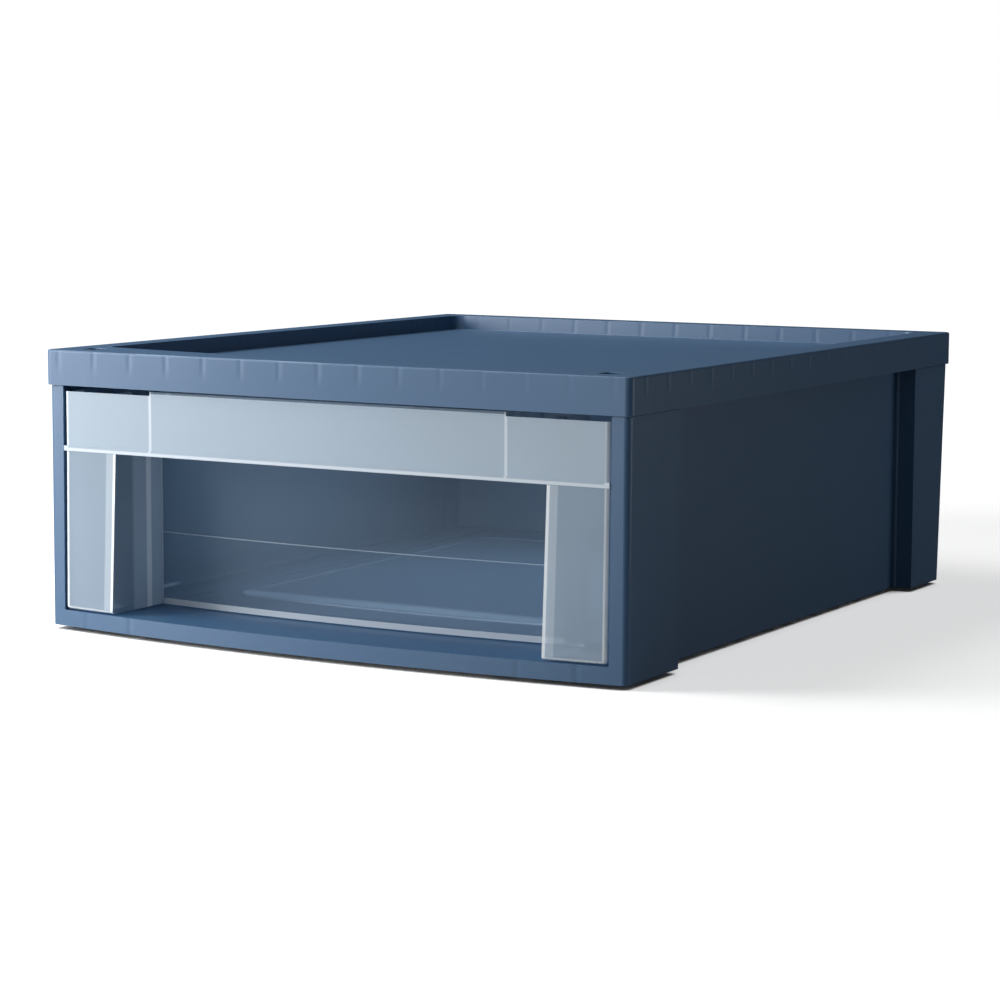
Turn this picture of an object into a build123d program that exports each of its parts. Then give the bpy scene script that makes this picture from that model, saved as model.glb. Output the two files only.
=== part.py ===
from build123d import *
import os

os.makedirs("parts", exist_ok=True)

# Stackable drawer box: a moulded case with an open front and top, a pressed-on lid with a
# sunken top, and one translucent drawer whose front is a hooded pull.
# Millimetres. +X is to the right seen from the front, -Y is the front, +Z is up.
# The origin is on the ground, in the middle of the box's outline.

# ---- case ----
case_width = 359.0          # across the corner columns
case_length = 423.0         # front plane of the posts to the top of the rear wall
case_wall = 2.4
case_corner_r = 3.5         # upright outer corners
rear_lean = 7.0             # how much nearer the rear wall stands at its foot
front_bow = 12.5            # how far the foot of the front bulges at the middle
head_bow = 1.0              # the same at the top of the front
foot_height = 2.5
sill_height = 8.9           # from the lower edge up to the floor's upper face
shoulder_top = 135.2        # where the outer wall steps in under the lid's skirt
rim_height = 9.3            # rim inside the lid, above the shoulder
rim_inset = 1.0             # step from the outer wall to the rim
column_front = 56.0         # depth of the front corner columns
column_rear = 52.0          # depth of the rear corner columns at the top
panel_inset = 11.7          # how far the side panels stand back from the columns
panel_ledge = 2.4           # ledge over each side panel, which the catches hook under
post_width = 9.6            # front posts on either side of the drawer
opening_r = 1.2             # lower corners of the front opening
foot_length = 9.0           # corner feet, along X and along Y
foot_side = 14.5            # outer side of the case to a foot
foot_front = 11.5           # front plane of the case to the front feet
foot_rear = 10.0            # rear wall's foot to the rear feet
foot_r = 2.5
foot_bevel = 0.8
panel_r = 2.0               # upright corners between the side panels and the columns
under_rib = 1.6             # ribs under the floor
under_rib_places = (121.0, 153.0)   # from the middle, to left and right
cross_rib_count = 5

# ---- lid ----
lid_lip = 1.5               # lid beyond the case, all round
lid_height = 19.3           # outer skirt
lid_wall = 2.0
lid_bow = 2.0               # bulge of the lid's front edge
lid_corner_r = 4.0
lid_edge_r = 1.2            # rounded top edges
rim_land = 16.0             # flat top of the rim at the sides and the rear
front_land = 20.0           # the same at the middle of the front
well_bow = 15.0             # bulge of the well's front edge
well_depth = 9.0
well_corner_r = 8.0
well_lean = 1.0             # draft of the well's walls
pocket_depth = 5.0          # pockets in the rim, which take the front feet of the next box
pocket_gap = 0.9            # pocket to foot
rib_pitch = 24.5            # gussets inside the hollow rim
rib_thick = 1.2
lid_rest = 0.3              # gap from the gussets to the case's rim
skirt_gap = 0.5             # outer wall's top to the skirt's lower edge
rib_clear_front = 12.0      # lid's corners to the first gusset, along the front and the rear
rib_clear_side = 30.0       # the same along the sides
catch_count = 3             # catches along each side
catch_length = 26.0
catch_reach = 1.8
catch_height = 1.5
catch_gap = 0.4             # catches to the case's ledges
catch_nose = 0.5            # upright tip of a catch
catch_rise = 0.3            # skirt's lower edge to a catch's slope

# ---- drawer ----
drawer_wall = 2.0
drawer_gap_side = 1.0       # to the side panels, and to the rear wall
drawer_gap_post = 0.7       # to the front posts
drawer_gap_floor = 0.8
drawer_gap_shoulder = 0.5   # drawer's shoulders to the case's columns, shut
drawer_gap_head = 3.2       # to the lid's skirt
band_height = 32.7          # plain band across the top of the front
band_bow = 1.2
bead_height = 2.8           # rounded bead along the band's lower edge
bead_proud = 0.8
column_width = 35.2         # hollow columns on either side of the hand recess
pull_depth = 46.0           # behind the sill's front edge
hood_end = 23.5             # columns to the ends of the hood over the recess
hood_rise = 2.2             # its top above the drawer's other edges
tray_lean = 1.5             # draft of the tray's sides and back
draw_corner_r = 6.0         # upright corners of the tray
column_edge_r = 3.0         # upright outer edges of the columns
column_inner_r = 4.0        # the same inside the columns, and along their foot
recess_r = 1.0              # upright corners between the recess's sides and the window
base_r = 1.8                # rounded foot of the drawer
field_rise = 1.2            # raised field on the drawer's floor
field_margin = 54.0         # from the tray's sides and rear to the field
field_gap_front = 36.0      # from the window to the field
field_r = 12.0
travel = 300.0              # how far the drawer pulls out
stop_height = 7.0           # stop tabs above the drawer's sides
stop_length = 30.0
stop_thick = 4.0
stop_root = 12.0            # how far a tab reaches down the drawer's side
runner_height = 0.5         # low runners under the drawer
runner_width = 6.0
runner_inset = 22.0         # tray's side to the runner

# ---- solids that cut or join ----
past = 5.0                  # how far a cutting solid runs past what it cuts
far = 30.0                  # the same in front of the open front
bite = 1.0                  # how far joined solids run into each other

# ---- worked out ----
half_case = case_width / 2
lid_length = case_length + 2 * lid_lip
depth_all = lid_length + front_bow - lid_lip
y_front = -depth_all / 2 + front_bow          # front plane of the posts
y_rear = y_front + case_length                # rear wall, at the top
z_low = foot_height                           # lower edge of the walls
z_floor = z_low + sill_height                 # floor's upper face
case_top = shoulder_top + rim_height          # top of the rim inside the lid
z_skirt = shoulder_top + skirt_gap            # lower edge of the lid
z_top = z_skirt + lid_height
half_panel = half_case - panel_inset          # outer face of the side panels
y_panel_a = y_front + column_front
y_panel_b = y_rear - column_rear
z_ledge = z_skirt + catch_height + catch_gap  # underside of the ledge over the panels
half_rim = half_case - rim_inset
half_lid = half_case + lid_lip
y_lid_front = y_front - lid_lip
y_lid_rear = y_rear + lid_lip
z_well = z_top - well_depth
half_well = half_lid - rim_land
z_rib = case_top + lid_rest                   # lower edge of the gussets

half_opening = half_case - post_width
half_front = half_opening - drawer_gap_post
foot_x = half_case - foot_side - foot_length  # inner face of the right feet
half_tray = half_panel - case_wall - drawer_gap_side
z_tray = z_floor + drawer_gap_floor
z_band = z_skirt - drawer_gap_head            # top of the drawer
z_bead = z_band - band_height
y_shoulder = y_panel_a - case_wall - drawer_gap_shoulder
half_pull = half_front - column_width         # hand recess between the columns
half_hood = half_pull - hood_end
pull_bow = front_bow * (half_pull / half_case) ** 2
y_window = y_front - front_bow + pull_depth   # front of the window at its middle


def rear_at(z):
    """Y of the rear wall's outer face at a height."""
    return y_rear - rear_lean * (shoulder_top - z) / (shoulder_top - z_low)


def box(x0, x1, y0, y1, z0, z1):
    return Pos((x0 + x1) / 2, (y0 + y1) / 2, (z0 + z1) / 2) * Box(x1 - x0, y1 - y0, z1 - z0)


def bowed_face(half, y0, y1, bow, z):
    """A rectangle at height z whose front edge bulges forward by bow at its middle."""
    front = ThreePointArc((-half, y0, z), (0, y0 - bow, z), (half, y0, z))
    sides = Polyline((half, y0, z), (half, y1, z), (-half, y1, z), (-half, y0, z))
    return make_face([front] + list(sides.edges()))


def tower(levels):
    """A solid through bowed rectangles: each level is (half, y0, y1, bow, z)."""
    return Solid.make_loft([bowed_face(*level).wire() for level in levels], ruled=True)


def block(z0, half0, y0, back0, z1, half1, y1, back1):
    """A straight-sided solid through two rectangles, each (half width, front, back)."""
    faces = []
    for z, half, front, back in ((z0, half0, y0, back0), (z1, half1, y1, back1)):
        faces.append(Polyline((-half, front, z), (half, front, z), (half, back, z),
                              (-half, back, z), (-half, front, z)))
    return Solid.make_loft([Wire(face.edges()) for face in faces], ruled=True)


def both(solid):
    return solid + mirror(solid, about=Plane.YZ)


def upright(solid, at=None):
    """Edges that run mostly along Z."""
    picked = []
    for edge in solid.edges():
        run = edge.end_point() - edge.start_point()
        if abs(run.Z) > 0.9 * run.length and run.length > 1:
            if at is None or at(edge.center()):
                picked.append(edge)
    return picked


def foot_places():
    """Front faces of the front and of the rear feet."""
    return y_front + foot_front, rear_at(z_low) - foot_rear - foot_length


def make_case():
    outer = tower([
        (half_case, y_front, rear_at(z_low), front_bow, z_low),
        (half_case, y_front, y_rear, head_bow, shoulder_top),
    ])
    outer = fillet(upright(outer), case_corner_r)
    side = box(half_panel, half_case + past, y_panel_a, y_panel_b, 0, shoulder_top + bite)
    side = fillet(upright(side, lambda p: p.X < half_case), panel_r)
    shell = outer - both(side)

    inner_half = half_panel - case_wall
    back_low, back_high = rear_at(z_floor) - case_wall, rear_at(case_top) - case_wall
    room = block(z_floor, inner_half, y_front - far, back_low,
                 case_top, inner_half, y_front - far, back_high)
    mouth = box(-half_opening, half_opening, y_front - far, y_front + far, z_floor, case_top + bite)
    mouth = fillet(mouth.edges().filter_by(Axis.Y).group_by(Axis.Z)[0], opening_r)
    front_room = box(0, half_case - case_wall, y_front + case_wall,
                     y_panel_a - case_wall, z_floor, case_top + bite)
    rear_room = block(z_floor, half_case - case_wall, y_panel_b + case_wall, back_low,
                      case_top, half_case - case_wall, y_panel_b + case_wall, back_high)
    shell = shell - room - mouth - both(front_room) - rear_room

    # hollow underside, with ribs under the floor
    under_top = z_floor - case_wall
    hollow = tower([
        (inner_half, y_front + case_wall, rear_at(z_low) - case_wall, front_bow, z_low - bite),
        (inner_half, y_front + case_wall, rear_at(under_top) - case_wall, front_bow, under_top),
    ])
    ribs = Part()
    for place in under_rib_places:
        ribs += both(box(place - under_rib / 2, place + under_rib / 2,
                         y_front - front_bow, y_rear, z_low - bite, under_top))
    for k in range(cross_rib_count):
        y = y_panel_a + (y_panel_b - y_panel_a) * (k + 0.5) / cross_rib_count
        ribs += box(-half_case, half_case, y - under_rib / 2, y + under_rib / 2,
                    z_low - bite, under_top)
    shell = shell - (hollow - ribs)

    # rim inside the lid: the wall steps in, and bridges the side panels on a ledge
    rim = box(-half_rim, half_rim, y_front + rim_inset, y_rear - rim_inset,
              shoulder_top, case_top)
    rim = fillet(upright(rim), case_corner_r - rim_inset)
    inside = half_rim - case_wall
    rim -= box(-inside, inside, y_front + rim_inset + case_wall,
               y_rear - rim_inset - case_wall, shoulder_top - bite, case_top + bite)
    rim -= box(-half_opening, half_opening, y_front - past, y_front + far, shoulder_top - bite,
               case_top + bite)
    rim -= both(box(half_panel - past, half_case, y_panel_a, y_panel_b, shoulder_top - bite, z_ledge))
    shelf = box(half_panel - case_wall, half_rim - bite, y_panel_a - case_wall,
                y_panel_b + case_wall, z_ledge, z_ledge + panel_ledge)
    wall_up = box(half_panel - case_wall, half_panel, y_panel_a - case_wall,
                  y_panel_b + case_wall, shoulder_top - bite, z_ledge + panel_ledge)
    ends = Part()
    for y0 in (y_panel_a - case_wall, y_panel_b):
        ends += box(half_panel - case_wall, half_rim - bite, y0, y0 + case_wall,
                    shoulder_top - bite, z_ledge + panel_ledge)
    shell = shell + rim + both(shelf + wall_up + ends)

    # corner feet
    for y0 in foot_places():
        foot = box(foot_x, foot_x + foot_length, y0, y0 + foot_length, 0, under_top + bite)
        foot = fillet(upright(foot), foot_r)
        shell += both(chamfer(foot.edges().group_by(Axis.Z)[0], foot_bevel))
    return shell


def lid_outline(inset, z):
    """The lid's outline, moved in by inset, as a face at height z."""
    half = half_lid - inset
    return bowed_face(half, y_lid_front + inset, y_lid_rear - inset, lid_bow, z)


def well(grow, z0, z1):
    """The sunken top, grown outward by grow, between two heights."""
    front = y_lid_front + front_land + well_bow - grow
    back = y_lid_rear - rim_land + grow
    half = half_well + grow
    solid = tower([
        (half - well_lean, front + well_lean, back - well_lean, well_bow, z0),
        (half, front, back, well_bow, z1),
    ])
    return fillet(upright(solid), well_corner_r + grow)


def pockets(grow, z0, z1):
    """The pockets over the front feet, grown outward by grow."""
    room = pocket_gap + grow
    y0 = foot_places()[0]
    pocket = box(foot_x - room, foot_x + foot_length + room,
                 y0 - room, y0 + foot_length + room, z0, z1)
    return both(fillet(upright(pocket), foot_r))


def make_lid():
    block = extrude(lid_outline(0, z_skirt), lid_height, dir=(0, 0, 1))
    block = fillet(upright(block), lid_corner_r)
    block = fillet(block.edges().group_by(Axis.Z)[-1], lid_edge_r)
    dish = well(0, z_well, z_top + bite)
    block -= dish
    block -= pockets(0, z_top - pocket_depth, z_top + bite)

    z_ceiling = z_top - lid_wall
    hollow = extrude(lid_outline(lid_wall, z_skirt - bite), z_ceiling - z_skirt + bite, dir=(0, 0, 1))
    hollow = fillet(upright(hollow), lid_corner_r - lid_wall)
    hollow -= well(lid_wall, z_well - lid_wall, z_top + bite)
    hollow -= pockets(lid_wall, z_top - pocket_depth - lid_wall, z_top + bite)

    # gussets across the upper half of the hollow rim
    gussets = Part()
    count_x = int((half_lid - rib_clear_front) // rib_pitch)
    for k in range(-count_x, count_x + 1):
        x = k * rib_pitch
        for y0, y1 in ((y_lid_front - lid_bow, y_lid_front + front_land + well_bow),
                       (y_lid_rear - rim_land, y_lid_rear)):
            gussets += box(x - rib_thick / 2, x + rib_thick / 2, y0, y1, z_rib, z_top)
    middle = (y_lid_front + y_lid_rear) / 2
    count_y = int((lid_length / 2 - rib_clear_side) // rib_pitch)
    for k in range(-count_y, count_y + 1):
        y = middle + k * rib_pitch
        gussets += both(box(half_well, half_lid, y - rib_thick / 2, y + rib_thick / 2,
                            z_rib, z_top))
    lid = block - (hollow - gussets)

    # catches on the inside of the skirt, under the case's ledges
    face = half_lid - lid_wall
    tip = face - catch_reach
    root = face + bite / 2
    top = z_skirt + catch_height
    profile = Polyline((root, 0, z_skirt + catch_rise), (tip, 0, top - catch_nose), (tip, 0, top),
                       (root, 0, top), (root, 0, z_skirt + catch_rise))
    tooth = extrude(make_face(profile), catch_length, dir=(0, 1, 0))
    for k in range(catch_count):
        y = y_panel_a + (y_panel_b - y_panel_a) * (k + 0.5) / catch_count - catch_length / 2
        lid += both(Pos(0, y, 0) * tooth)
    return lid


def front_bow_at(z):
    """Bulge of the drawer's front: like the sill at its foot, nearly straight in the band."""
    share = max(0, z_bead - z) / (z_bead - z_low)
    return band_bow + (front_bow - band_bow) * share


def front_block(inset, corner_r, half, back, heights):
    """The drawer's front part, with its front surface and its sides moved in by inset."""
    wires = []
    for z in heights:
        bow = front_bow_at(z) * (half / half_case) ** 2
        y = y_front + inset - (front_bow_at(z) - bow)
        face = bowed_face(half - inset, y, back - inset, bow, z)
        if corner_r > 0:
            face = fillet([v for v in face.vertices() if v.Y < y + 1], corner_r)
        wires.append(face.face().outer_wire())
    return Solid.make_loft(wires, ruled=True)


def pull_room(grow, z0, z1, y_start):
    """The hand recess, grown outward by grow, from y_start back to the window."""
    half = half_pull + grow
    y_mid = y_window + grow
    y_end = y_mid + pull_bow
    arc = ThreePointArc((-half, y_end, z0), (0, y_mid, z0), (half, y_end, z0))
    rest = Polyline((half, y_end, z0), (half, y_start, z0), (-half, y_start, z0), (-half, y_end, z0))
    solid = extrude(make_face([arc] + list(rest.edges())), z1 - z0, dir=(0, 0, 1))
    return fillet(upright(solid, lambda p: p.Y > y_start + 5), recess_r + grow)


def make_drawer():
    y_back = rear_at(z_floor) - case_wall - drawer_gap_side
    high = z_band

    def tray(inset, corner_r, z0, z1):
        half, back = half_tray - inset, y_back - inset
        low = tray_lean * (high - z0) / (high - z_tray)
        top = tray_lean * (z1 - high) / (high - z_tray)
        y0 = y_front + column_front / 2
        body = block(z0, half - low, y0, back - low, z1, half + top, y0, back + top)
        body = fillet(upright(body, lambda p: p.Y > 0), draw_corner_r - inset)
        return body + front_block(inset, corner_r, half_front, y_shoulder, (z0, z_bead, z1))

    outside = tray(0, column_edge_r, z_tray, high)
    outside = fillet(outside.edges().group_by(Axis.Z)[0], base_r)
    inside = tray(drawer_wall, column_inner_r, z_tray + drawer_wall, high + bite)
    inside -= pull_room(drawer_wall, z_tray - bite, high + 2 * bite, y_front - far)
    inside = fillet(inside.edges().group_by(Axis.Z)[0], base_r)

    # hand recess, which the band's inner face bounds above the bead
    behind_band = front_block(drawer_wall, 0, half_front, y_shoulder, (z_bead, high + past))
    recess = pull_room(0, z_tray - bite, high + bite, y_front - far)
    recess -= box(-half_front, half_front, y_front - 2 * far, y_window, z_bead, high + past) - behind_band
    drawer = outside - inside - recess

    # hood behind the middle of the band, closed at its top and its ends
    def hood_part(inset, top):
        half = half_hood - inset
        span = box(-half, half, y_front - far, y_shoulder, z_bead, top)
        room = pull_room(drawer_wall - inset, z_bead, top, y_front - far)
        return front_block(inset, 0, half_front, y_shoulder, (z_bead, top)) & span & room

    hood_top = high + hood_rise
    drawer += hood_part(0, hood_top) - hood_part(drawer_wall, hood_top - drawer_wall)

    # raised field on the floor
    field_half = half_tray - field_margin
    y0 = y_window + pull_bow + field_gap_front
    z0 = z_tray + drawer_wall - bite
    field = tower([(field_half, y0, y_back - field_margin, pull_bow, z)
                   for z in (z0, z0 + field_rise + bite)])
    field = fillet(upright(field), field_r)
    field = fillet(field.edges().group_by(Axis.Z)[-1], field_rise / 2)
    drawer += field

    # bead along the band's lower edge
    bead = front_block(-bead_proud, 0, half_front - bead_proud, y_front + column_edge_r,
                       (z_bead, z_bead + bead_height))
    bead -= front_block(drawer_wall, 0, half_front, y_shoulder,
                        (z_bead - bite, z_bead + bead_height + bite))
    drawer += bead

    # runners under the tray
    x = half_tray - runner_inset - runner_width
    drawer += both(box(x, x + runner_width, y_shoulder, y_back - 2 * draw_corner_r,
                       z_tray - runner_height, z_tray + drawer_wall / 2))

    # stop tabs, which meet the lid's skirt when the drawer is out
    y_stop = y_lid_front + lid_wall + travel
    tab = box(half_tray - drawer_wall - stop_thick, half_tray, y_stop, y_stop + stop_length,
              high - stop_root, high + stop_height)
    tab = chamfer(tab.edges().filter_by(Axis.X).group_by(Axis.Y)[-1].group_by(Axis.Z)[-1],
                  stop_height - bite)
    drawer += both(tab)
    return drawer


case = make_case()
lid = make_lid()
drawer = make_drawer()
for name, part in (("case", case), ("lid", lid), ("drawer", drawer)):
    print(name, len(part.solids()), round(part.volume / 1000, 1), "cm3", part.bounding_box())
    export_step(part, f"parts/{name}.step")
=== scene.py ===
# %% [markdown]
# # A stackable drawer box
# Three mouldings make this object: a denim blue case with an open front, a lid of the
# same plastic with a sunken top, and a milky, see-through drawer. Their shapes come
# packed from the CAD model. Here they get the small things that make plastic look like
# plastic: soft edges that catch a thin line of light, sink marks over the ribs, a fine
# satin grain, and walls that let the blue behind them show.

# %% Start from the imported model
import math

import bmesh
import bpy
from mathutils import Matrix, Vector


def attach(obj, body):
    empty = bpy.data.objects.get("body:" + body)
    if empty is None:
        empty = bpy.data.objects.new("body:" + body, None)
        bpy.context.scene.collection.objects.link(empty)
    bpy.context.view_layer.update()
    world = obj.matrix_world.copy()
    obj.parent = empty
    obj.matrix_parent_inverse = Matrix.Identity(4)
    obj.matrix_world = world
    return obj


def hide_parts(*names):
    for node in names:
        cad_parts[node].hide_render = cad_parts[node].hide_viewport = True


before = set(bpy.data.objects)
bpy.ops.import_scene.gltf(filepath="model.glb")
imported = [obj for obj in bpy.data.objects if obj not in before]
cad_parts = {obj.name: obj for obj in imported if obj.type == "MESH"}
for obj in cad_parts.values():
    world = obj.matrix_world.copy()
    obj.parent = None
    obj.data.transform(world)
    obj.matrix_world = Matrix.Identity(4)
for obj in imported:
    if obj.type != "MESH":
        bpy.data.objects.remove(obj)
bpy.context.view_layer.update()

# %% [markdown]
# ## Pieces with soft edges
# A moulding has no knife edges. The tool leaves a radius of a few tenths of a millimetre,
# and that radius is what draws the bright lines along every rim in a photograph. The
# radii could be filleted in CAD, one edge after another, but a Bevel modifier finds them
# all by their angle. It needs clean faces, and the CAD mesh is loose triangles, so a copy
# is welded and its flat triangles are joined into larger faces first. The rounded strips
# take the piece's second material, because an edge is smoother than the grained wall.
# That material is also paler, a painted highlight that strengthens the bright lines.
# Weighted normals let the big faces rule the shading at a shared corner, so that a flat
# wall stays flat right up to its rounded edge.

# %% Make a soft-edged copy of a node
MM = 0.001
WELD_MM = 0.002
FLAT_DEG = 0.3
ROUND_ABOVE_DEG = 28
EDGE_SLOT = 1


def soft_copy(node, name, radius_mm):
    """A clean copy of a node's mesh, with its edges rounded by modifiers."""
    bm = bmesh.new()
    bm.from_mesh(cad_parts[node].data)
    bmesh.ops.remove_doubles(bm, verts=bm.verts, dist=WELD_MM * MM)
    bmesh.ops.dissolve_limit(bm, angle_limit=math.radians(FLAT_DEG), verts=bm.verts,
                             edges=bm.edges, use_dissolve_boundaries=False)
    mesh = bpy.data.meshes.new(name)
    bm.to_mesh(mesh)
    faces = len(bm.faces)
    open_edges = sum(1 for e in bm.edges if len(e.link_faces) != 2)
    bm.free()
    mesh.shade_smooth()
    piece = bpy.data.objects.new(name, mesh)
    bpy.context.scene.collection.objects.link(piece)
    bevel = piece.modifiers.new("soft_edges", "BEVEL")
    bevel.width = radius_mm * MM
    bevel.segments = 2
    bevel.limit_method = "ANGLE"
    bevel.angle_limit = math.radians(ROUND_ABOVE_DEG)
    bevel.use_clamp_overlap = True
    bevel.material = EDGE_SLOT
    flat = piece.modifiers.new("flat_faces", "WEIGHTED_NORMAL")
    flat.mode = "FACE_AREA"
    flat.weight = 90
    print(name, "faces", faces, "open edges", open_edges)
    return piece


# %% Case, lid and drawer
case = soft_copy("case", "case_moulding", 0.45)
lid = soft_copy("lid", "lid_moulding", 0.45)
drawer = soft_copy("drawer", "drawer_moulding", 0.35)
for piece, node, body in ((case, "case", "box"), (lid, "lid", "box"),
                          (drawer, "drawer", "drawer")):
    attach(piece, body)
    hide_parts(node)
    print(piece.name, "rides on", body)

# %% [markdown]
# ## Denim blue plastic
# The case and the lid are the same opaque polypropylene. Its surface has a satin grain
# from the tool, too fine to see as bumps, which spreads highlights softly. Slight waves
# in the walls make those highlights wander. Where a rib stands behind a wall, the thick
# spot shrinks as it cools and pulls the wall in by about a tenth of a millimetre.
# These sink marks are what gives a moulding away, and they lie exactly over the ribs.
# They are too shallow for the mesh, so a Bump node draws them. Grain and sink marks are
# node groups with named sockets, as more than one material uses them.

# %% Node helpers
def group(name, inputs, outputs):
    """A new node group with its sockets, and its input and output nodes."""
    tree = bpy.data.node_groups.new(name, "ShaderNodeTree")
    for label, kind, value in inputs:
        socket = tree.interface.new_socket(label, in_out="INPUT", socket_type=kind)
        socket.default_value = value
    for label, kind in outputs:
        tree.interface.new_socket(label, in_out="OUTPUT", socket_type=kind)
    return tree, tree.nodes.new("NodeGroupInput"), tree.nodes.new("NodeGroupOutput")


def add(tree, kind, **values):
    """A new node, with its settings or its input sockets set by name."""
    node = tree.nodes.new(kind)
    for key, value in values.items():
        if hasattr(node, key):
            setattr(node, key, value)
        else:
            node.inputs[key.replace("_", " ")].default_value = value
    return node


def math_node(tree, operation, a, b=None, c=None, clamp=False):
    """A Math node on numbers or sockets. It gives its output socket."""
    node = tree.nodes.new("ShaderNodeMath")
    node.operation = operation
    node.use_clamp = clamp
    for slot, value in zip(node.inputs, (a, b, c)):
        if value is None:
            continue
        if isinstance(value, (int, float)):
            slot.default_value = value
        else:
            tree.links.new(value, slot)
    return node.outputs[0]


def times(tree, *values):
    """The product of numbers and sockets. Of masks, it is where all of them are."""
    result = values[0]
    for value in values[1:]:
        result = math_node(tree, "MULTIPLY", result, value)
    return result


def greatest(tree, *values):
    """The greatest of numbers and sockets. Of masks, it is where any of them is."""
    result = values[0]
    for value in values[1:]:
        result = math_node(tree, "MAXIMUM", result, value)
    return result


print("helpers", [f.__name__ for f in (group, add, math_node, times, greatest)])

# %% [markdown]
# The marks and zones below are places on the piece, so the next helpers measure places.
# Object coordinates are in metres and stay with the piece, because its object sits at
# the origin. The true normal tells a front wall from a floor.

# %% Helpers for places on a piece
ALL = 1.0   # further away than any point of the object, in metres


def between(tree, value, low, high, soft):
    """1 where value lies between low and high, with edges of width soft."""
    up = math_node(tree, "SUBTRACT", value, low)
    up = math_node(tree, "DIVIDE", up, soft, clamp=True)
    down = math_node(tree, "SUBTRACT", high, value)
    down = math_node(tree, "DIVIDE", down, soft, clamp=True)
    return math_node(tree, "MULTIPLY", up, down)


def place(tree):
    """The point's X, Y and Z on the piece, in metres."""
    coord = add(tree, "ShaderNodeTexCoord")
    xyz = add(tree, "ShaderNodeSeparateXYZ")
    tree.links.new(coord.outputs["Object"], xyz.inputs[0])
    return xyz.outputs


def facing_parts(tree):
    """How far the face's true normal points along X, Y and Z, without its sign."""
    geometry = add(tree, "ShaderNodeNewGeometry")
    xyz = add(tree, "ShaderNodeSeparateXYZ")
    tree.links.new(geometry.outputs["True Normal"], xyz.inputs[0])
    return [math_node(tree, "ABSOLUTE", s) for s in xyz.outputs]


def faces_along(tree, part, at_least=0.8):
    """1 where the face points along an axis, from its normal's part along it."""
    return math_node(tree, "GREATER_THAN", part, at_least)


print("helpers", [f.__name__ for f in (between, place, facing_parts, faces_along)])

# %% The moulded surface group
WAVE_SCALE = 14.0    # waves about 70 mm long
CLOUD_SCALE = 30.0   # patches of sheen about 30 mm wide


def make_moulded_surface():
    tree, inp, out = group("moulded_surface", [
        ("Grain Size mm", "NodeSocketFloat", 0.5),
        ("Grain Depth", "NodeSocketFloat", 0.1),
        ("Wave Depth", "NodeSocketFloat", 0.1),
        ("Roughness", "NodeSocketFloat", 0.4),
        ("Roughness Spread", "NodeSocketFloat", 0.05),
    ], [("Height", "NodeSocketFloat"), ("Roughness", "NodeSocketFloat")])
    coord = add(tree, "ShaderNodeTexCoord")
    grain = add(tree, "ShaderNodeTexNoise", Detail=2.0)
    wave = add(tree, "ShaderNodeTexNoise", Scale=WAVE_SCALE, Detail=1.0)
    cloud = add(tree, "ShaderNodeTexNoise", Scale=CLOUD_SCALE, Detail=3.0)
    for noise in (grain, wave, cloud):
        tree.links.new(coord.outputs["Object"], noise.inputs["Vector"])
    scale = math_node(tree, "DIVIDE", 1.0 / MM, inp.outputs["Grain Size mm"])
    tree.links.new(scale, grain.inputs["Scale"])
    height = math_node(tree, "MULTIPLY", grain.outputs[0], inp.outputs["Grain Depth"])
    height = math_node(tree, "MULTIPLY_ADD", wave.outputs[0], inp.outputs["Wave Depth"],
                       height)
    tree.links.new(height, out.inputs["Height"])
    spread = math_node(tree, "SUBTRACT", cloud.outputs[0], 0.5)
    rough = math_node(tree, "MULTIPLY_ADD", spread, inp.outputs["Roughness Spread"],
                      inp.outputs["Roughness"])
    tree.links.new(rough, out.inputs["Roughness"])
    return tree


moulded_surface = make_moulded_surface()
print("group", moulded_surface.name)

# %% The sink mark group
GUSSET_PITCH = 0.0245


def make_sink_marks():
    """1 in the middle of a mark, falling to 0 at its half width, once every pitch."""
    tree, inp, out = group("sink_marks", [
        ("Along", "NodeSocketFloat", 0.0),
        ("Pitch", "NodeSocketFloat", GUSSET_PITCH),
        ("Half Width", "NodeSocketFloat", 0.002),
    ], [("Mark", "NodeSocketFloat")])
    steps = math_node(tree, "DIVIDE", inp.outputs["Along"], inp.outputs["Pitch"])
    off = math_node(tree, "SUBTRACT", steps, math_node(tree, "ROUND", steps))
    off = math_node(tree, "MULTIPLY", off, inp.outputs["Pitch"])
    off = math_node(tree, "ABSOLUTE", off)
    share = math_node(tree, "DIVIDE", off, inp.outputs["Half Width"])
    mark = math_node(tree, "SUBTRACT", 1.0, share, clamp=True)
    mark = math_node(tree, "SMOOTH_MIN", mark, 1.0, 0.2)
    tree.links.new(mark, out.inputs["Mark"])
    return tree


sink_marks = make_sink_marks()
print("group", sink_marks.name)

# %% A material with the moulded surface in it
GLOSS = 0.5
GRAIN_STRENGTH = 0.35
GRAIN_MM = 0.4


def plastic(name, colour, grain_mm, grain, waves, roughness, spread):
    """A plain plastic of one colour. More nodes can be joined to what it gives."""
    material = bpy.data.materials.new(name)
    material.use_nodes = True
    tree = material.node_tree
    shader = tree.nodes["Principled BSDF"]
    shader.inputs["Base Color"].default_value = (*colour, 1)
    shader.inputs["Specular IOR Level"].default_value = GLOSS
    surface = add(tree, "ShaderNodeGroup", node_tree=moulded_surface)
    for label, value in (("Grain Size mm", grain_mm), ("Grain Depth", grain),
                         ("Wave Depth", waves), ("Roughness", roughness),
                         ("Roughness Spread", spread)):
        surface.inputs[label].default_value = value
    bump = add(tree, "ShaderNodeBump", Strength=GRAIN_STRENGTH, Distance=GRAIN_MM * MM)
    tree.links.new(surface.outputs["Height"], bump.inputs["Height"])
    tree.links.new(bump.outputs[0], shader.inputs["Normal"])
    tree.links.new(surface.outputs["Roughness"], shader.inputs["Roughness"])
    return material, tree, shader, bump


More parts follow.
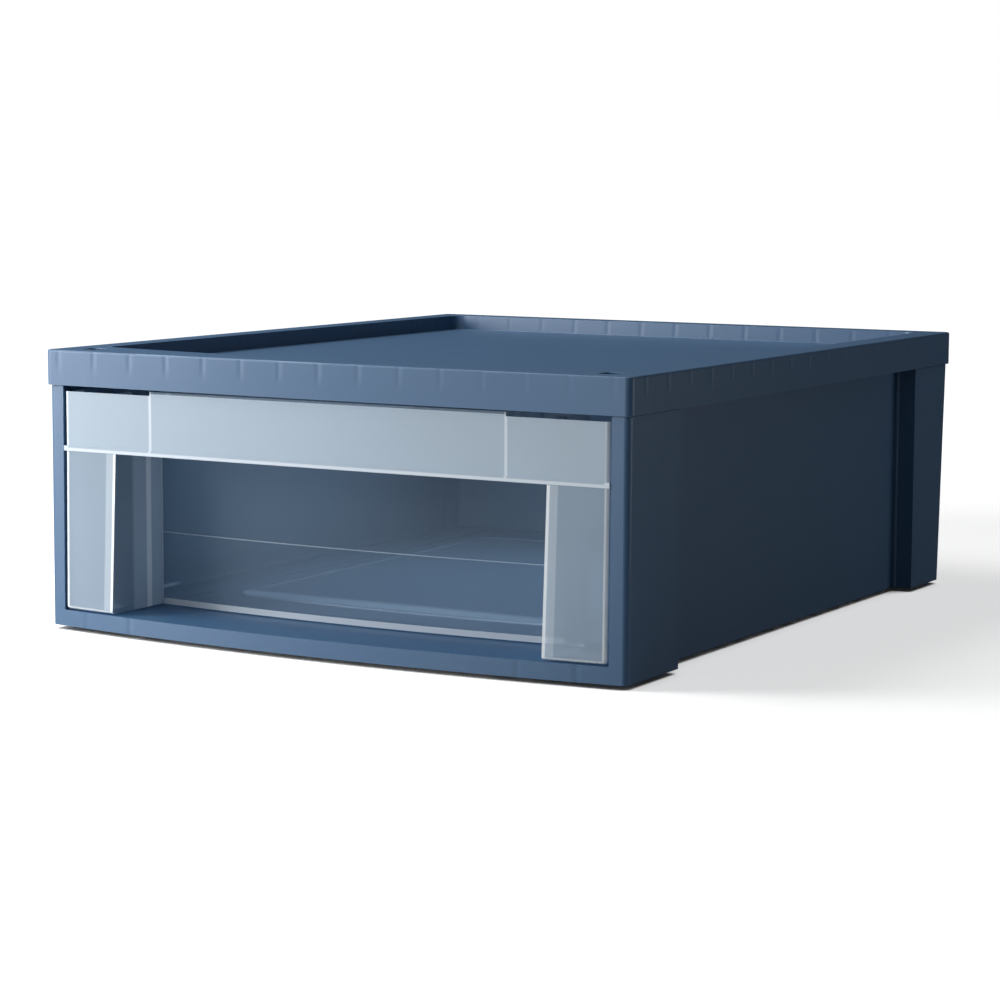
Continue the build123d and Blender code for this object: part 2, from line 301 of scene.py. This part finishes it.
def dent(tree, grain_bump, mark, depth_mm):
    """Press marks into the wall under its grain."""
    sunk = math_node(tree, "MULTIPLY", mark, -1.0)
    bump = add(tree, "ShaderNodeBump", Strength=1.0, Distance=depth_mm * MM)
    tree.links.new(sunk, bump.inputs["Height"])
    tree.links.new(bump.outputs[0], grain_bump.inputs["Normal"])


print("helpers", plastic.__name__, dent.__name__)

# %% [markdown]
# The lid's gussets stand in a row inside its rim, 24.5 mm apart, so one repeated mark
# follows them along the front and rear walls, and another along the sides. The marks
# fade out below the rim, where the gussets end.

# %% Blue of the lid, with marks over the gussets
DENIM = (0.047, 0.118, 0.230)
WALL_FINISH = (0.6, 0.10, 0.5, 0.42, 0.06)   # grain mm, grain, waves, roughness, spread
LID_MIDDLE_Y = 0.0045
GUSSET_MARK_HALF = 0.0024
GUSSET_MARK_MM = 0.13
GUSSETS_Z = (0.1425, 0.1600)

blue_lid, nt, _, grain_bump = plastic("denim_blue_lid", DENIM, *WALL_FINISH)
x, y, z = place(nt)
nx, ny, _ = facing_parts(nt)
rows = []
for along, faces in ((x, ny), (math_node(nt, "SUBTRACT", y, LID_MIDDLE_Y), nx)):
    marks = add(nt, "ShaderNodeGroup", node_tree=sink_marks)
    marks.inputs["Half Width"].default_value = GUSSET_MARK_HALF
    nt.links.new(along, marks.inputs["Along"])
    rows.append(times(nt, marks.outputs["Mark"], faces_along(nt, faces)))
upper = between(nt, z, *GUSSETS_Z, soft=0.0060)
dent(nt, grain_bump, times(nt, greatest(nt, *rows), upper), GUSSET_MARK_MM)
print("material", blue_lid.name)

# %% Blue of the case, with marks over the ribs under its floor
FLOOR_RIBS_X = (0.121, 0.153)
RIB_MARK_HALF = 0.003
RIB_MARK_MM = 0.20
SILL_Z = (0.0, 0.0125)

blue_case, nt, _, grain_bump = plastic("denim_blue_case", DENIM, *WALL_FINISH)
x, _, z = place(nt)
_, ny, _ = facing_parts(nt)
aside = math_node(nt, "ABSOLUTE", x)
mark = 0.0
for rib in FLOOR_RIBS_X:
    here = between(nt, aside, rib - RIB_MARK_HALF, rib + RIB_MARK_HALF, RIB_MARK_HALF)
    mark = math_node(nt, "ADD", here, mark)
sill = between(nt, z, *SILL_Z, soft=0.001)
dent(nt, grain_bump, times(nt, mark, sill, faces_along(nt, ny)), RIB_MARK_MM)
print("material", blue_case.name)

# %% [markdown]
# An edge is smoother than the wall. Its colour is paler too: a painted highlight, so that
# it draws a thin light line.

# %% Blue edges with a painted highlight
# Paler than the wall's blue: a painted highlight on the rounded edges.
EDGE_PAINTED_HIGHLIGHT = (0.200, 0.320, 0.470)
EDGE_FINISH = (0.4, 0.05, 0.1, 0.30, 0.04)


def dress(piece, wall, edge):
    """Give a piece its wall material, and the edge material in the bevel's slot."""
    piece.data.materials.clear()
    piece.data.materials.append(wall)
    piece.data.materials.append(edge)
    print(piece.name, "wears", wall.name, "and", edge.name)


blue_edge, *_ = plastic("denim_blue_painted_edge_highlight", EDGE_PAINTED_HIGHLIGHT, *EDGE_FINISH)
dress(case, blue_case, blue_edge)
dress(lid, blue_lid, blue_edge)

# %% [markdown]
# ## Milky drawer
# The drawer is a clear polypropylene that scatters a little light. It could be a volume
# that scatters inside a glass shell, which is slow and noisy in walls this thin. Instead
# each wall adds a pale veil and lets the rest through, so two walls look milkier than
# one. That is an Alpha below one on a pale colour. A wall is a solid with two faces, and
# only the face towards the eye may count, so Geometry's Backfacing takes the veil off
# the other one.
#
# The window behind the hand recess is polished clear, the columns and the tray are
# lightly frosted, and the band, with its hood behind it, is the milkiest. The drawer is
# one moulding and so one piece, and a node group tells these zones apart by where they
# lie. Its outputs are masks: 1 inside the zone and 0 outside.

# %% Where the drawer's zones lie, in metres
HALF_PULL = 0.1340     # from the middle to a column's inner edge
HALF_FRONT = 0.1692    # and to its outer edge
HALF_HOOD = 0.1105     # and to the hood's end
BEAD_Z = 0.0998        # the band's lower edge, with its bead
WALL = 0.0021
WINDOW_HALF = HALF_PULL - 0.0005
WINDOW_Y = (-0.1765, -0.1600)
RECESS_SIDE_X = (HALF_PULL - 0.001, HALF_PULL + 0.0025)
RECESS_SIDE_Y = (-0.1930, -0.1640)
FRONT_Y = -0.1900      # band and columns lie in front of this
FIELD_Y = (-0.1400, -0.1120)
FIELD_Z = (0.0142, 0.0162)
BAND_FROM_Z = BEAD_Z - 0.0002
HOOD_TOP_Z = 0.1334        # the top's rounded edges reach down to this
HOOD_TOP_LEVEL_Z = 0.1320  # level faces above this are the top too


def zone_masks(tree, spot, facing):
    """A mask for each zone, and one for the band with the hood's top."""
    x, y, z = spot
    aside = math_node(tree, "ABSOLUTE", x)
    front = between(tree, y, -ALL, FRONT_Y, soft=0.003)
    upper = between(tree, z, BAND_FROM_Z, ALL, soft=0.0004)
    lower = between(tree, z, 0.0, BEAD_Z, soft=0.0004)
    level = faces_along(tree, facing[2], 0.9)
    hood_top = greatest(
        tree, between(tree, z, HOOD_TOP_Z, ALL, soft=0.0002),
        times(tree, level, between(tree, z, HOOD_TOP_LEVEL_Z, ALL, soft=0.0002)))
    below_top = math_node(tree, "SUBTRACT", 1.0, hood_top)
    band_all = times(tree, front, upper)
    masks = {"Hood Top": hood_top, "Band": times(tree, band_all, below_top)}
    masks["Front"] = times(tree, front, lower)
    masks["Window"] = times(tree, between(tree, aside, -ALL, WINDOW_HALF, soft=0.0008),
                            between(tree, y, *WINDOW_Y, soft=0.0005),
                            between(tree, z, 0.0, BEAD_Z, soft=0.0005))
    masks["Recess Side"] = times(tree, between(tree, aside, *RECESS_SIDE_X, soft=0.0004),
                                 between(tree, y, *RECESS_SIDE_Y, soft=0.003), lower)
    masks["Field"] = times(tree, between(tree, z, *FIELD_Z, soft=0.0004),
                           between(tree, y, *FIELD_Y, soft=0.009))
    return masks, band_all


print("recess", 2 * HALF_PULL, "m wide, hood", 2 * HALF_HOOD, "m wide")

# %% [markdown]
# A wall that is seen end-on looks brightest, because light runs along inside it and
# leaves at its edge. So the columns, the hood, the bead and the window get painted bright
# lines as wide as the wall is thick: a pale colour for the highlight, and more veil. They
# are masks too, and their strengths differ.

# %% Painted bright lines where a wall is seen end-on
INNER_LINE_X = (HALF_PULL - 0.001, HALF_PULL + WALL)
INNER_GLOW_X = (HALF_PULL - 0.001, HALF_PULL + 0.0066)
OUTER_LINE_X = (HALF_FRONT - 0.0032, HALF_FRONT + 0.002)
HOOD_LINE_X = (HALF_HOOD - 0.0011, HALF_HOOD + 0.0011)
BEAD_LINE_Z = (BEAD_Z - 0.0005, BEAD_Z + 0.0020)
COLUMN_FOOT_Z = (0.0, 0.0142)
WINDOW_FOOT_Z = (0.0, 0.0158)
WINDOW_LINE_Z = (0.0524, 0.0532)
RECESS_CORNER_Y = (-0.1800, -0.1750)


def edge_lines(tree, spot, facing, masks, band_all):
    """A mask for the painted bright lines on end-on walls. It is below 1 where a line is
    weak.
    """
    x, y, z = spot
    aside = math_node(tree, "ABSOLUTE", x)
    toward = faces_along(tree, facing[1], 0.7)

    def line(strength, value, span, soft):
        return math_node(tree, "MULTIPLY", between(tree, value, *span, soft), strength)

    columns = greatest(
        tree, line(1.0, aside, INNER_LINE_X, 0.0006), line(0.3, aside, INNER_GLOW_X, 0.0006),
        line(0.9, aside, OUTER_LINE_X, 0.0008), line(0.8, z, COLUMN_FOOT_Z, 0.0006))
    band = greatest(
        tree, line(0.55, aside, HOOD_LINE_X, 0.0005), line(0.60, z, BEAD_LINE_Z, 0.0004),
        line(0.6, aside, OUTER_LINE_X, 0.0008))
    window = greatest(
        tree, line(0.4, z, WINDOW_LINE_Z, 0.0002), line(0.7, z, WINDOW_FOOT_Z, 0.0004))
    corner = line(1.0, y, RECESS_CORNER_Y, 0.0006)
    return greatest(tree, times(tree, columns, masks["Front"], toward),
                    times(tree, band, band_all, toward),
                    times(tree, window, masks["Window"], toward),
                    times(tree, corner, masks["Recess Side"]))


print("lines", 1000 * WALL, "mm wide on the columns")

# %% The drawer zones group
def make_drawer_zones():
    names = ("Window", "Band", "Front", "Thick And Painted Glow", "Field", "Hood Top", "Recess Side")
    tree, _, out = group("drawer_zones", [], [(name, "NodeSocketFloat") for name in names])
    spot, facing = place(tree), facing_parts(tree)
    masks, band_all = zone_masks(tree, spot, facing)
    masks["Thick And Painted Glow"] = edge_lines(tree, spot, facing, masks, band_all)
    for name in names:
        tree.links.new(masks[name], out.inputs[name])
    return tree


drawer_zones = make_drawer_zones()
print("group", drawer_zones.name, "with", len(drawer_zones.nodes), "nodes")

# %% [markdown]
# The veil is how much of the wall's own colour covers what lies behind it. Every zone
# changes the tray's veil to its own, and an end-on line covers three quarters of what is
# left. Under the lid's skirt the hood's top lies in a slot too narrow for light, so
# ambient occlusion fills it with shade there, and frees it when the drawer comes out.

# %% Veils and colours of the drawer
MILK = (0.35, 0.49, 0.65)
FROST = (0.49, 0.60, 0.71)
# The pale colour of the end-on lines and edges is a painted highlight.
PALE_PAINTED_GLOW = (0.86, 0.92, 0.97)
SLOT_DARK = (0.006, 0.012, 0.022)
VEIL_TRAY = 0.30
VEILS = {"Window": 0.14, "Band": 0.72, "Front": 0.54, "Field": 0.80, "Recess Side": 0.90}
FROSTED = {"Band": 1.0, "Front": 0.6, "Recess Side": 1.6}
LINE_FILL = 0.75
# The drawer's rounded edges get at least this much painted bright line, with more veil.
EDGE_LINE = 0.65
SLOT_REACH = 0.005
SLOT_FADE = (-1.6, 1.3)   # full shade where under a fifth of the sky shows
DRAWER_FINISH = (0.8, 0.05, 0.4, 0.45, 0.05)
print("veils", VEILS, "tray", VEIL_TRAY)


def blend_colour(tree, share, first, second):
    """Mix two colours, given as numbers or as the output of another mix."""
    mix = add(tree, "ShaderNodeMix", data_type="RGBA")
    factor, a, b = mix.inputs[0], mix.inputs[6], mix.inputs[7]
    tree.links.new(share, factor)
    if isinstance(first, tuple):
        a.default_value = (*first, 1)
    else:
        tree.links.new(first, a)
    b.default_value = (*second, 1)
    return mix.outputs[2]


# %% Drawer material
def milky_plastic(name, more_veil, least_line):
    """The drawer's plastic. Edges have more veil and at least so much of a painted bright
    line.
    """
    material, tree, shader, _ = plastic(name, MILK, *DRAWER_FINISH)
    zones = add(tree, "ShaderNodeGroup", node_tree=drawer_zones).outputs
    veil = VEIL_TRAY + more_veil
    for zone, amount in VEILS.items():
        veil = math_node(tree, "MULTIPLY_ADD", zones[zone], amount - VEIL_TRAY, veil)
    line = greatest(tree, zones["Thick And Painted Glow"], least_line)
    left = math_node(tree, "SUBTRACT", 1.0, veil, clamp=True)
    left = times(tree, left, math_node(tree, "MULTIPLY_ADD", line, -LINE_FILL, 1.0))
    veil = math_node(tree, "SUBTRACT", 1.0, left)
    sky = add(tree, "ShaderNodeAmbientOcclusion", samples=8, Distance=SLOT_REACH)
    slot_shade = math_node(tree, "MULTIPLY_ADD", sky.outputs["AO"], *SLOT_FADE, clamp=True)
    slot_shade = times(tree, slot_shade, zones["Hood Top"])
    veil = greatest(tree, veil, slot_shade)
    frost = 0.0
    for zone, share in FROSTED.items():
        frost = math_node(tree, "MULTIPLY_ADD", zones[zone], share, frost)
    colour = blend_colour(tree, frost, MILK, FROST)
    # Where a line is, the pale colour paints a highlight.
    colour = blend_colour(tree, line, colour, PALE_PAINTED_GLOW)
    colour = blend_colour(tree, slot_shade, colour, SLOT_DARK)
    tree.links.new(colour, shader.inputs["Base Color"])
    geometry = add(tree, "ShaderNodeNewGeometry")
    toward_eye = math_node(tree, "SUBTRACT", 1.0, geometry.outputs["Backfacing"])
    tree.links.new(times(tree, veil, toward_eye), shader.inputs["Alpha"])
    return material


milky_wall = milky_plastic("milky_drawer", 0.0, 0.0)
milky_edge = milky_plastic("milky_drawer_edge", 0.25, EDGE_LINE)
dress(drawer, milky_wall, milky_edge)

# %% [markdown]
# ## Floor, light and camera
# The photograph is a studio shot on white: a soft light from the front left, little from
# the right, and a pale floor with a shadow to the right. More light would make the floor
# white, but would bleach the plastic too. So the floor is white to the camera and duller
# to the other rays, and doesn't flood the shaded side. Near the object it keeps the
# shadow, and further off it fades into the white room. A short ambient occlusion paints
# a dark contact shadow where the box stands on it.

# %% Floor
FLOOR_HALF = 30.0
FADE_FROM, FADE_OVER = 0.50, 0.6     # metres from the middle of the box
GLOW_NEAR, GLOW_FAR = 0.64, 1.0
CONTACT_REACH = 0.02
CONTACT_FROM, CONTACT_OVER = 0.25, 0.3   # shares of the sky that the floor sees


def sees_white(tree):
    """1 for the rays that should see a white room: camera, glossy and transmission."""
    ray = add(tree, "ShaderNodeLightPath").outputs
    return greatest(tree, ray["Is Camera Ray"], ray["Is Glossy Ray"],
                    ray["Is Transmission Ray"])


def flat_sheet(name, half):
    """A flat square for the stage, from the middle half a side each way."""
    mesh = bpy.data.meshes.new(name)
    bm = bmesh.new()
    bmesh.ops.create_grid(bm, x_segments=1, y_segments=1, size=half)
    bm.to_mesh(mesh)
    bm.free()
    sheet = bpy.data.objects.new(name, mesh)
    bpy.context.scene.collection.objects.link(sheet)
    return sheet


floor = flat_sheet("floor", FLOOR_HALF)
print("floor", 2 * FLOOR_HALF, "m wide")

# %% Floor material
paper = bpy.data.materials.new("floor_paper")
paper.use_nodes = True
nt = paper.node_tree
nt.nodes.clear()
coord = add(nt, "ShaderNodeTexCoord")
reach = add(nt, "ShaderNodeVectorMath", operation="LENGTH")
nt.links.new(coord.outputs["Object"], reach.inputs[0])
far = math_node(nt, "SUBTRACT", reach.outputs["Value"], FADE_FROM)
far = math_node(nt, "DIVIDE", far, FADE_OVER, clamp=True)
# Ambient occlusion dims the floor's glow under the box's edges: a painted contact shadow.
open_sky = add(nt, "ShaderNodeAmbientOcclusion", samples=8, Distance=CONTACT_REACH)
clear_of_painted_shadow = math_node(nt, "SUBTRACT", open_sky.outputs["AO"], CONTACT_FROM)
clear_of_painted_shadow = math_node(nt, "DIVIDE", clear_of_painted_shadow, CONTACT_OVER, clamp=True)
strength = math_node(nt, "MULTIPLY_ADD", far, GLOW_FAR - GLOW_NEAR, GLOW_NEAR)
pale = add(nt, "ShaderNodeBsdfDiffuse", Color=(0.8, 0.8, 0.8, 1))
dull = add(nt, "ShaderNodeBsdfDiffuse", Color=(0.5, 0.5, 0.5, 1))
glow = add(nt, "ShaderNodeEmission", Color=(1, 1, 1, 1))
lit = add(nt, "ShaderNodeAddShader")
mix = add(nt, "ShaderNodeMixShader")
out = add(nt, "ShaderNodeOutputMaterial")
nt.links.new(times(nt, strength, clear_of_painted_shadow), glow.inputs["Strength"])
nt.links.new(pale.outputs[0], lit.inputs[0])
nt.links.new(glow.outputs[0], lit.inputs[1])
nt.links.new(sees_white(nt), mix.inputs[0])
nt.links.new(dull.outputs[0], mix.inputs[1])
nt.links.new(lit.outputs[0], mix.inputs[2])
nt.links.new(mix.outputs[0], out.inputs[0])
floor.data.materials.append(paper)
print("material", paper.name)

# %% World
world = bpy.data.worlds.new("studio")
bpy.context.scene.world = world
world.use_nodes = True
wt = world.node_tree
wt.nodes.clear()
room = add(wt, "ShaderNodeBackground", Color=(0.9, 0.95, 1.0, 1), Strength=0.06)
white = add(wt, "ShaderNodeBackground", Color=(1, 1, 1, 1), Strength=1.0)
mix = add(wt, "ShaderNodeMixShader")
out = add(wt, "ShaderNodeOutputWorld")
wt.links.new(sees_white(wt), mix.inputs[0])
wt.links.new(room.outputs[0], mix.inputs[1])
wt.links.new(white.outputs[0], mix.inputs[2])
wt.links.new(mix.outputs[0], out.inputs[0])
print("world", world.name)

# %% [markdown]
# Satin plastic would mirror all that white and look chalky. On a real set black cards
# stand just outside the picture for this, so that the plastic reflects them instead.
# These cards are seen by glossy rays only.

# %% Black cards
card_black = bpy.data.materials.new("card_black")
card_black.use_nodes = True
paint = card_black.node_tree.nodes["Principled BSDF"].inputs["Base Color"]
paint.default_value = (0.01, 0.01, 0.01, 1)
CARDS = (
    # name, centre, width, height, turn in degrees
    ("card_floor", (0.6, 0.9, 0.0005), 4.6, 5.0, (0, 0, 0)),
    ("card_back", (0.0, 3.4, 1.5), 9.0, 3.0, (90, 0, 0)),
    ("card_right", (3.4, 0.5, 1.5), 3.0, 7.0, (0, 90, 0)),
    ("card_left_back", (-3.4, 1.8, 1.5), 3.0, 5.0, (0, 90, 0)),
)
for name, centre, width, height, turn in CARDS:
    card = flat_sheet(name, 0.5)
    card.location = centre
    card.scale = (width, height, 1)
    card.rotation_euler = [math.radians(v) for v in turn]
    for flag in ("visible_camera", "visible_diffuse", "visible_transmission",
                 "visible_volume_scatter", "visible_shadow"):
        setattr(card, flag, False)
    card.data.materials.append(card_black)
    print(name, width, "x", height, "m")

# %% [markdown]
# Four soft boxes light the object: the key at the left, a low fill in front, a low one
# from the right that keeps the shaded side readable, and one above. Light also enters
# the real box through its milky drawer and bounces round inside it. That takes many
# bounces through pale walls, so one weak, bluish lamp inside the box stands for it.

# %% Lamps
def soft_box(name, at, target, width, height, watts, colour=(1, 1, 1)):
    """A rectangular lamp that looks at its target."""
    lamp = bpy.data.lights.new(name, "AREA")
    lamp.shape = "RECTANGLE"
    lamp.size = width
    lamp.size_y = height
    lamp.energy = watts
    lamp.color = colour
    box = bpy.data.objects.new(name, lamp)
    box.location = at
    box.rotation_euler = (Vector(target) - Vector(at)).to_track_quat("-Z", "Y").to_euler()
    box.visible_camera = False
    bpy.context.scene.collection.objects.link(box)
    print(name, watts, "W")
    return box


soft_box("key_left", (-0.76, -0.66, 0.30), (-0.05, -0.2, 0.08), 0.4, 0.5, 9.2)
soft_box("low_front", (-0.25, -1.75, 0.14), (0, -0.1, 0.08), 0.6, 0.24, 3.6)
soft_box("right_rear", (1.8, 1.0, 0.13), (0.1, 0, 0.08), 0.8, 0.24, 4)
soft_box("top", (-0.75, -0.3, 1.15), (0, 0, 0.1), 0.8, 0.8, 11)
inside = soft_box("inside", (0, 0.0, 0.125), (0, 0, 0), 0.26, 0.26, 0.20, (0.78, 0.90, 1.0))
inside.visible_glossy = False
inside.visible_transmission = False

# %% [markdown]
# The camera's place, turn and focal length come from the photograph's own perspective:
# about 60 edge points of the box were fitted at once. It stands 1.6 m away, to the right
# of the front, and looks down by seven degrees.

# %% Camera at the photograph's viewpoint
IMAGE_PIXELS = 1000.0
FOCAL_PIXELS = 2807.8
SENSOR_MM = 36.0
YAW_DEG, DOWN_DEG, ROLL_DEG = 30.087, 6.961, 0.226

camera_data = bpy.data.cameras.new("camera")
camera_data.sensor_width = SENSOR_MM
camera_data.lens = FOCAL_PIXELS / IMAGE_PIXELS * SENSOR_MM
camera = bpy.data.objects.new("camera", camera_data)
camera.location = (0.80635, -1.41323, 0.26053)
turn = (Matrix.Rotation(math.radians(YAW_DEG), 4, "Z")
        @ Matrix.Rotation(math.radians(90 - DOWN_DEG), 4, "X")
        @ Matrix.Rotation(math.radians(ROLL_DEG), 4, "Z"))
camera.rotation_euler = turn.to_euler()
bpy.context.scene.collection.objects.link(camera)
bpy.context.scene.camera = camera
bpy.context.scene.view_settings.view_transform = "Standard"
print("camera lens", round(camera_data.lens, 2), "mm")
